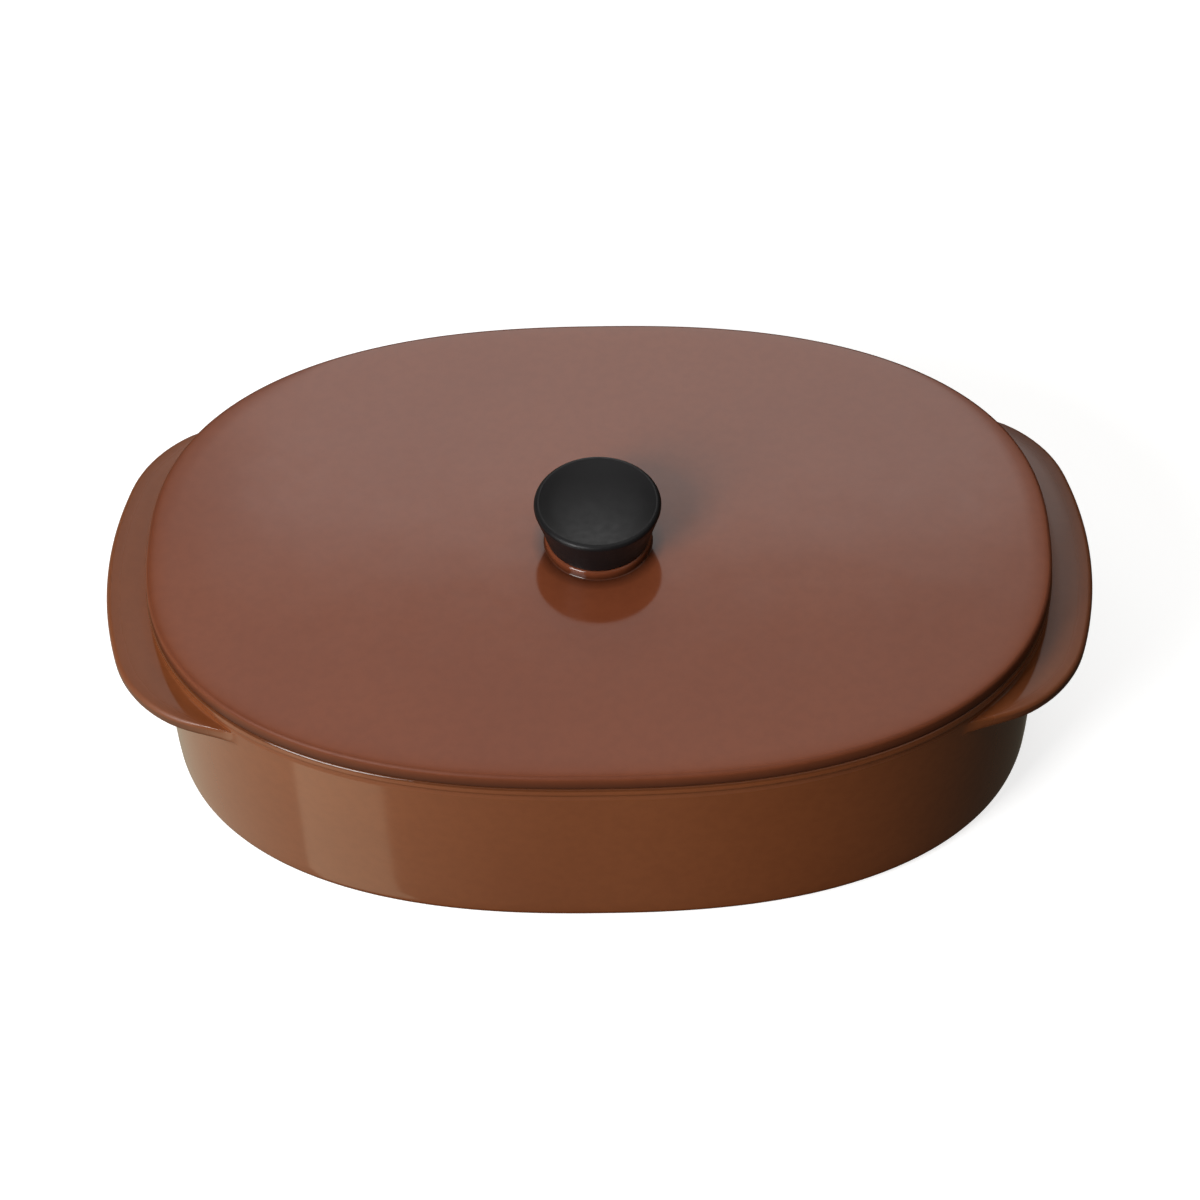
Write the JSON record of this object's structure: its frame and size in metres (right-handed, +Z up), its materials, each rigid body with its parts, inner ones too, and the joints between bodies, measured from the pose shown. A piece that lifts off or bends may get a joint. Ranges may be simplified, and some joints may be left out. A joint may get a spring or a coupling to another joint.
{
  "type": "covered oval dish",
  "caption": "Oval glazed stoneware oven dish with wing handles moulded in one piece with it, and a loose flat lid with a black screwed-on knob.",
  "frame": {"origin": "centre of the oval, in the plane of the foot ring that the dish stands on", "axes": "+X along the length through both wing handles, +Y across to the back, +Z up through the knob"},
  "size_m": [0.352, 0.219, 0.1042],
  "materials": {
    "dish": "glossy brown glaze",
    "lid": "glossy red-brown glaze",
    "knob": "satin black",
    "knob_insert": "machined",
    "knob_screw": "zinc plated",
    "flat_washer": "zinc plated",
    "seal_washer": "matte"
  },
  "bodies": {
    "dish": {"dish": "dish"},
    "lid": {"lid": "lid", "knob": "knob", "knob_insert": "knob_insert", "knob_screw": "knob_screw", "flat_washer": "flat_washer", "seal_washer": "seal_washer"}
  },
  "joints": [
    {"name": "lid_lift", "type": "slide", "parent": "dish", "child": "lid", "axis": [0, 0, 1], "range_m": [0, 0.12]}
  ]
}
